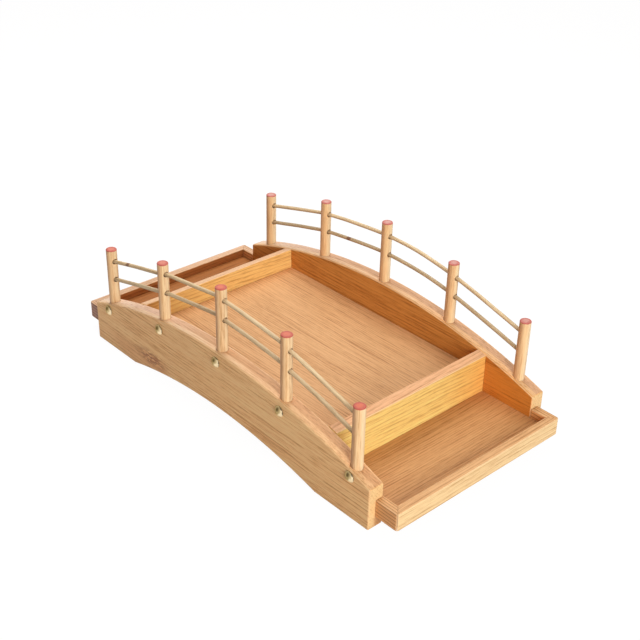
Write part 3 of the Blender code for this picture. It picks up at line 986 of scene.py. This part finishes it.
# The front board's outer face: a ruddy foot on the left, and a stain, whose place and size are X and Z
OUTER_FACE = (-0.11, -0.12)
RUDDY_FOOT = (0.73, 0.365, 0.155)
RUDDY_X = (-0.06, -0.11)
RUDDY_Z = (0.030, 0.010)
RUDDY_PATCHES = (0.25, 0.60)
STAIN = (0.36, 0.12, 0.05)
STAIN_PLACE = (-0.118, 0.0215)
STAIN_SIZE = (0.030, 0.010)
STAIN_REACH = (1.3, 0.2)
STAIN_SPECKS = (0.42, 0.58)
STAIN_STRENGTH = 0.9


def board_material():
    """Varnished planks, redder in patches, dark orange inside as painted shade and warm bounce light, with
    sawn tops that carry painted highlights, ends made paler as painted light, edges worn pale with a painted
    highlight, and a stain.
    """
    nodes, grain, shade = start_wood("varnished_board", "X", BOARD)
    redder = nodes.fade(nodes.pattern(grain["moved"], "warmth")[0], *REDDER_PATCHES)
    colour = two_tone(nodes, redder, shade, BOARD["body"], REDDER_BODY)
    colour = stained(nodes, grain, shade, colour)
    # Painted shade on the faces that look inward
    inside = two_tone(nodes, nodes.fade(nodes.place(X), *TRAY_STRETCH), shade, INSIDE_PAINTED_SHADE, TRAY_INSIDE_PAINTED_SHADE)
    colour = nodes.mix(nodes.fade(nodes.outward(Y), *FACING_IN), colour, inside)
    colour = sawn_top(nodes, grain, shade, colour)
    colour = pale_end_with_tray_shadow(nodes, shade, colour)
    colour = worn_and_highlit_edges(nodes, grain, colour, BOARD, False)
    return finish_wood(nodes, grain, colour, BOARD)


def stained(nodes, grain, shade, colour):
    """A ruddy tone low down on the left of the front board's outer face, with a speckled stain in it."""
    x, z = nodes.place(X), nodes.place(Z)
    front = nodes.fade(nodes.place(Y), *OUTER_FACE)
    patches = nodes.fade(grain["cloud"], *RUDDY_PATCHES)
    low = nodes.times(nodes.fade(z, *RUDDY_Z), nodes.fade(x, *RUDDY_X), patches, front)
    colour = nodes.mix(low, colour, tinted(nodes, shade, RUDDY_FOOT))
    offset = nodes.vector("SUBTRACT", nodes.combine(x, z, 0.0), (*STAIN_PLACE, 0.0))
    away = nodes.length(nodes.vector("DIVIDE", offset, (*STAIN_SIZE, 1.0)))
    specks = nodes.fade(nodes.pattern(grain["moved"], "speck")[0], *STAIN_SPECKS)
    mask = nodes.times(nodes.fade(away, *STAIN_REACH), specks, front, STAIN_STRENGTH)
    return nodes.mix(mask, colour, STAIN)


def sawn_top(nodes, grain, shade, colour):
    """The board's top: a dark front line, two bands of painted highlight and a sawn stretch between them,
    made paler on the left as painted light.
    """
    x, y = nodes.place(X), nodes.place(Y)
    back = nodes.fade(y, *HIGH_HALF)
    across = nodes.scale_add(nodes.math("SIGN", y), -POST_LINE, y)
    across = add_swing(nodes, across, grain, "cloud", TOP_RAGGEDNESS)
    upward = nodes.fade(nodes.normal(Z), *FACING_UP)
    colour = nodes.mix(upward, colour, two_tone(nodes, back, shade, FRONT_BOARD_LINE, BACK_BOARD_LINE))
    soft = nodes.scale_add(shade, *TOP_CONTRAST)
    paler = nodes.math("MAXIMUM", nodes.fade(x, *SAWN_PAINTED_LIGHT), nodes.times(back, SAWN_PALER_AT_BACK))
    sawn = two_tone(nodes, paler, soft, SAWN, PALE_SAWN)
    # Painted light at the far left of the top
    sawn = nodes.mix(nodes.fade(x, *SAWN_FAR_LEFT), sawn, tinted(nodes, soft, SAWN_FAR_LEFT_LIGHT))
    band = two_tone(nodes, nodes.fade(x, *TOP_EDGE_HIGHLIGHT_PALER), soft, TOP_EDGE_HIGHLIGHT, PALE_TOP_EDGE_HIGHLIGHT)
    # Painted highlight in bands along the top's edges
    highlighted = nodes.math("MAXIMUM", nodes.fade(across, *FRONT_HIGHLIGHT_BAND), nodes.fade(across, *BACK_HIGHLIGHT_BAND))
    sawn = nodes.mix(highlighted, sawn, band)
    return nodes.mix(nodes.times(upward, nodes.fade(across, *PAST_LINE)), colour, sawn)


def pale_end_with_tray_shadow(nodes, shade, colour):
    """The board's end faces: cream end grain, paler as painted light, with a red-brown painted shadow in the
    inner corner under the tray.
    """
    calm = nodes.scale_add(shade, *END_CONTRAST)
    end = nodes.fade(nodes.outward(X), *FACING_OUT)
    # Cream end grain, made paler as painted light
    colour = nodes.mix(end, colour, tinted(nodes, calm, END_GRAIN_AND_LIGHT))
    inner = nodes.fade(nodes.math("ABSOLUTE", nodes.place(Y)), *TRAY_SHADOW_Y)
    low = nodes.fade(nodes.place(Z), *TRAY_SHADOW_Z)
    # Painted shadow of the tray on the end face's inner corner, low down
    corner = nodes.times(inner, low, end, TRAY_SHADOW_STRENGTH)
    return nodes.mix(corner, colour, tinted(nodes, calm, PAINTED_SHADE_BROWN))


# Painted posts

POST = dict(LOOK, body=(0.90, 0.59, 0.315), pith=(0.02, -0.03), ring=0.12, streak=0.3, cloud=0.5)
# Painted light on the posts' back right sides and painted shade on their front left sides: the colours, the
# lit side's direction and the fades
POST_PAINTED_LIGHT = (0.885, 0.66, 0.405)
POST_PAINTED_SHADE = (0.69, 0.405, 0.215)
POST_LIT_SIDE = (0.68, 0.73)
PAINTED_LIGHT_FADE = (-0.1, 0.8)
PAINTED_SHADE_FADE = (-0.1, -0.95)
PAINT_RAGGEDNESS = -0.0009
PAINT_DEPTH = (0.0013, 0.0008)
PAINT_STRENGTH = 0.92
PAINT_THINNING = 0.004
PAINT_RIM = (0.0016, 0.0056)
FRESH_MIDDLE = (0.80, 0.165, 0.09)
WORN_MIDDLE = (0.70, 0.385, 0.35)
FRESH_RIM = (0.56, 0.085, 0.07)
WORN_RIM = (0.56, 0.14, 0.13)
BRUSH_MARKS = (0.58, 0.10, 0.08)
BRUSH_STRENGTH = 0.25


def post_material():
    """Pale dowel with painted shade on its front left and painted light on its back right, and a worn red
    painted top.
    """
    nodes, grain, shade = start_wood("painted_post", "Z", POST)
    right, back = POST_LIT_SIDE
    # Painted light towards the back right, painted shade towards the front left
    toward_lit_side = nodes.scale_add(nodes.normal(X), right, nodes.times(nodes.normal(Y), back))
    colour = two_tone(nodes, nodes.fade(toward_lit_side, *PAINTED_LIGHT_FADE), shade, POST["body"], POST_PAINTED_LIGHT)
    colour = nodes.mix(nodes.fade(toward_lit_side, *PAINTED_SHADE_FADE), colour, tinted(nodes, shade, POST_PAINTED_SHADE))
    ragged = nodes.math("SUBTRACT", nodes.pattern(grain["moved"], "brush")[0], NOISE_MIDDLE)
    depth = nodes.scale_add(ragged, PAINT_RAGGEDNESS, nodes.attribute("below_top"))
    thinned = nodes.scale_add(ragged, PAINT_THINNING, nodes.attribute("off_axis"))
    wear = nodes.attribute("wear")
    middle = nodes.mix(wear, FRESH_MIDDLE, WORN_MIDDLE)
    rim = nodes.mix(wear, FRESH_RIM, WORN_RIM)
    paint = nodes.mix(nodes.fade(thinned, *PAINT_RIM), middle, rim)
    paint = nodes.mix(nodes.times(grain["band"], BRUSH_STRENGTH), paint, BRUSH_MARKS)
    colour = nodes.mix(nodes.times(nodes.fade(depth, *PAINT_DEPTH), PAINT_STRENGTH), colour, paint)
    return finish_wood(nodes, grain, colour, POST)


# Bamboo rails

RAIL = dict(
    LOOK, body=(0.82, 0.605, 0.355), sway=0.0005, ring=0.0, streak=0.0, band=0.9, cloud=0.9, pores=0.4,
)
DULL_STRAW = (0.37, 0.265, 0.16)
# Painted shade on the rails' undersides
RAIL_PAINTED_SHADE = (0.29, 0.185, 0.095)
RAIL_PAINTED_SHADE_REACH = (-0.0004, 0.0016)
RAIL_PAINTED_SHADE_STRENGTH = 0.8
MARK = (0.22, 0.075, 0.045)
MARK_REACH = (0.25, 0.85)
MARK_STRENGTH = 0.8


def rail_material():
    """Split bamboo: straw with fine fibres, duller on some rails, with painted shade underneath and a few
    dark marks.
    """
    nodes, grain, shade = start_wood("straw_bamboo", "RAIL", RAIL)
    colour = tinted(nodes, shade, RAIL["body"])
    colour = nodes.mix(nodes.attribute("dull"), colour, DULL_STRAW)
    # Painted shade on the lower side of each rail
    shaded_under = nodes.fade(nodes.parts(nodes.attribute("grain", "Vector"))[Z], *RAIL_PAINTED_SHADE_REACH)
    colour = nodes.mix(nodes.times(shaded_under, RAIL_PAINTED_SHADE_STRENGTH), colour, RAIL_PAINTED_SHADE)
    mark = nodes.fade(nodes.attribute("mark"), *MARK_REACH)
    colour = nodes.mix(nodes.times(mark, MARK_STRENGTH), colour, MARK)
    return finish_wood(nodes, grain, colour, RAIL)


# Brass studs

TARNISH_STOPS = ((0.3, (0.60, 0.46, 0.24)), (0.5, (0.48, 0.355, 0.17)), (0.72, (0.34, 0.24, 0.10)))
# Colours of the painted highlight, the dark painted reflection and the painted shadow
BRASS_PAINTED_HIGHLIGHT = (0.92, 0.75, 0.49)
BRASS_PAINTED_DARK_REFLECTION = (0.10, 0.065, 0.025)
BRASS_PAINTED_SHADOW = (0.075, 0.045, 0.02)
BRASS_TINT = (0.70, 0.52, 0.30)
BRASS_ROUGHNESS = (0.35, 0.25)
BRASS_BLUR = 0.5
BRASS_GRIT = 0.4
BRASS_BUMP = 0.25
BRASS_RELIEF = 0.0002

# Round patches of painted reflection, highlight and shadow, in head radii: right, up, where each starts,
# where it is full, and its strength
PAINTED_FLOOR_REFLECTION = (0.54, -0.32, 0.52, 0.12, 0.9)
PAINTED_RIM_HIGHLIGHT = (-0.25, 0.35, 0.72, 1.02, 0.8)
PAINTED_DARK_REFLECTION = (-0.02, 0.48, 0.50, 0.12, 0.92)
PAINTED_RIM_SHADOW = (-0.22, -0.16, 1.10, 1.22, 0.9)


def brass_material():
    """Old brass: olive tarnish, with a painted reflection and highlight bright low down and on the right, a
    dark painted reflection in a spot and a painted shadow at its upper rim.
    """
    nodes = Nodes(bpy.data.materials.new("old_brass"))
    tarnish = nodes.pattern(nodes.point(), "tarnish")[0]
    grit = nodes.pattern(nodes.point(), "grit")[0]
    blur = nodes.times(nodes.math("SUBTRACT", tarnish, NOISE_MIDDLE), BRASS_BLUR)
    spot = nodes.attribute("spot", "Vector")

    def patch(right, up, start, full, strength):
        away = nodes.length(nodes.vector("SUBTRACT", spot, (right, up, 0)))
        return nodes.times(nodes.fade(nodes.math("ADD", away, blur), start, full), strength)

    colour = nodes.ramp(tarnish, TARNISH_STOPS)
    # Painted reflection of the bright floor low down, and a painted highlight up the right rim
    colour = nodes.mix(nodes.math("MAXIMUM", patch(*PAINTED_FLOOR_REFLECTION), patch(*PAINTED_RIM_HIGHLIGHT)), colour, BRASS_PAINTED_HIGHLIGHT)
    # Painted reflection of a dark surround
    colour = nodes.mix(patch(*PAINTED_DARK_REFLECTION), colour, BRASS_PAINTED_DARK_REFLECTION)
    # Painted shadow at the upper rim
    colour = nodes.mix(patch(*PAINTED_RIM_SHADOW), colour, BRASS_PAINTED_SHADOW)
    roughness = nodes.scale_add(tarnish, *BRASS_ROUGHNESS)
    nodes.set(Base_Color=colour, Metallic=1.0, Specular_Tint=BRASS_TINT, Roughness=roughness)
    nodes.bumps(nodes.scale_add(grit, BRASS_GRIT, tarnish), BRASS_BUMP, BRASS_RELIEF)
    return nodes.owner


# Assembly

def dress_side(side, sign, housings, materials, seeds):
    """One side's rails, posts, studs and board."""
    rail_holes = []
    for level in RAIL_DROPS:
        seed = next(seeds)
        rail = make_rail(side, sign, level, seed)
        rail_holes.append(make_rail_hole(side, sign, level, seed))
        finish_piece(rail, f"{side}_{level}_rail", materials["rail"], seed)
    board_holes = []
    for (number, x), wear in zip(post_places(), PAINT_WEAR[side]):
        seed = next(seeds)
        stud_hole = make_stud_hole(f"{side}_stud_hole_{number}", x, sign)
        board_holes += [make_socket(f"{side}_socket_{number}", x, sign), stud_hole]
        top = post_top(x) + POST_SHIFTS.get((side, number), 0)
        post = make_post(f"{side}_dowel_{number}", x, sign, top, wear, [*rail_holes, stud_hole])
        finish_piece(post, f"{side}_post_{number}", materials["post"], seed)
        stud = make_stud(f"{side}_tack_{number}", x, sign, seed)
        finish_piece(stud, f"{side}_stud_{number}", materials["brass"], seed)
    board = make_board(side, sign, [*housings, *board_holes])
    finish_piece(board, f"{side}_side_board", materials["board"], next(seeds))


def dress_end(end, x_sign, materials, seed):
    """One end's divider and tray."""
    crossing = (
        (make_divider, "divider", "divider_wood"),
        (make_tray_floor, "tray_floor", "tray_floor_wood"),
        (make_end_wall, "end_wall", "tray_wall_wood"),
    )
    for make, node, slot in crossing:
        finish_piece(make(end, x_sign), f"{end}_{node}", materials[node], seed)
    for side, y_sign in SIDES:
        wall = make_tray_side(end, x_sign, side, y_sign)
        own_seed = seed + TRAY_SIDE_SEED * y_sign
        finish_piece(wall, f"{end}_{side}_tray_side", materials["tray_side"], own_seed)


def dress():
    materials = {
        "board": board_material(),
        "post": post_material(),
        "rail": rail_material(),
        "brass": brass_material(),
        "deck": plain_wood("deck_board", "X", DECK),
        "divider": plain_wood("divider_board", "Y", DIVIDER, DIVIDER_FACES),
        "tray_floor": plain_wood("tray_floor_board", "Y", FLOOR, LEFT_FLOOR_PAINTED_SHADE),
        "end_wall": plain_wood("tray_wall_board", "Y", WALL, WALL_FACES),
        "tray_side": plain_wood("tray_side_board", "X", SIDE, SIDE_FACES),
    }
    seeds = itertools.accumulate(itertools.repeat(SEED_STEP))
    housings = make_housings()
    for side, sign in SIDES:
        dress_side(side, sign, housings, materials, seeds)
    finish_piece(make_deck(), "deck", materials["deck"], DECK_SEED)
    for end, x_sign in ENDS:
        dress_end(end, x_sign, materials, next(seeds))
    for cutter in CUTTERS:
        bpy.data.objects.remove(cutter, do_unlink=True)


# Studio

FLOOR_HALF = 6
FLOOR_CELLS = 8
PAPER = (0.64, 0.57, 0.54)
GLOW = 1.08
GLOW_SHARE = 0.9
WHITE = (1, 1, 1)
FILL_LIGHT = 0.22
BACKDROP_LIGHT = 1.0

# Lamps: name, place, the point it is aimed at, diameter, power and colour
LAMPS = (
    ("key", (1.83, -0.66, 0.70), (0, 0, 0.05), 1.0, 28, (1.0, 0.97, 0.91)),
    ("overhead", (-0.40, 0.32, 1.15), (-0.05, 0, 0.05), 1.0, 11.5, WHITE),
)

# Camera, fitted to the photo: heading to the left of +Y, pitch below the horizon, roll to the left
CAMERA_PLACE = (0.78133, -0.70321, 0.69329)
HEADING = math.radians(47.3005)
PITCH = math.radians(30.4005)
ROLL = math.radians(1.3595)
LENS = 64.25
SENSOR_WIDTH = 36


def seen_directly(nodes):
    """1 for what the camera, gloss and glass see, 0 for the light that falls on things."""
    path = nodes.add("ShaderNodeLightPath").outputs
    seen = nodes.math("MAXIMUM", path["Is Camera Ray"], path["Is Glossy Ray"])
    return nodes.math("MAXIMUM", seen, path["Is Transmission Ray"])


def make_floor():
    """A white sheet that shows nearly white and keeps a soft shadow."""
    shape = bmesh.new()
    bmesh.ops.create_grid(shape, x_segments=FLOOR_CELLS, y_segments=FLOOR_CELLS, size=FLOOR_HALF)
    floor = add_shape("studio_floor", shape)
    nodes = Nodes(bpy.data.materials.new("white_sheet"))
    nodes.tree.nodes.clear()
    paper = nodes.add("ShaderNodeBsdfDiffuse", PAPER).outputs[0]
    glow = nodes.add("ShaderNodeEmission", WHITE, GLOW).outputs[0]
    share = nodes.times(seen_directly(nodes), GLOW_SHARE)
    nodes.add("ShaderNodeOutputMaterial", nodes.add("ShaderNodeMixShader", share, paper, glow).outputs[0])
    floor.data.materials.append(nodes.owner)


def make_world():
    """White all round where it is seen, and a dim light on the bridge."""
    world = bpy.data.worlds.new("studio")
    bpy.context.scene.world = world
    nodes = Nodes(world)
    seen = seen_directly(nodes)
    level = nodes.add("ShaderNodeMapRange", seen, 0.0, 1.0, FILL_LIGHT, BACKDROP_LIGHT).outputs[0]
    inputs = nodes.tree.nodes["Background"].inputs
    nodes.feed(inputs["Color"], WHITE)
    nodes.feed(inputs["Strength"], level)


def make_lamp(name, place, target, size, power, colour):
    lamp = bpy.data.lights.new(name, "AREA")
    lamp.shape = "DISK"
    lamp.size = size
    lamp.energy = power
    lamp.color = colour
    obj = add_object(name, lamp)
    obj.location = place
    obj.rotation_euler = (Vector(target) - Vector(place)).to_track_quat("-Z", "Y").to_euler()


def make_camera():
    camera = bpy.data.cameras.new("view")
    camera.lens = LENS
    camera.sensor_width = SENSOR_WIDTH
    obj = add_object("view", camera)
    turn = Matrix.Rotation(HEADING, 3, "Z") @ Matrix.Rotation(math.pi / 2 - PITCH, 3, "X")
    obj.rotation_euler = (turn @ Matrix.Rotation(ROLL, 3, "Z")).to_euler()
    obj.location = CAMERA_PLACE
    bpy.context.scene.camera = obj


dress()
make_floor()
make_world()
for lamp in LAMPS:
    make_lamp(*lamp)
make_camera()
bpy.context.scene.view_settings.view_transform = "Standard"
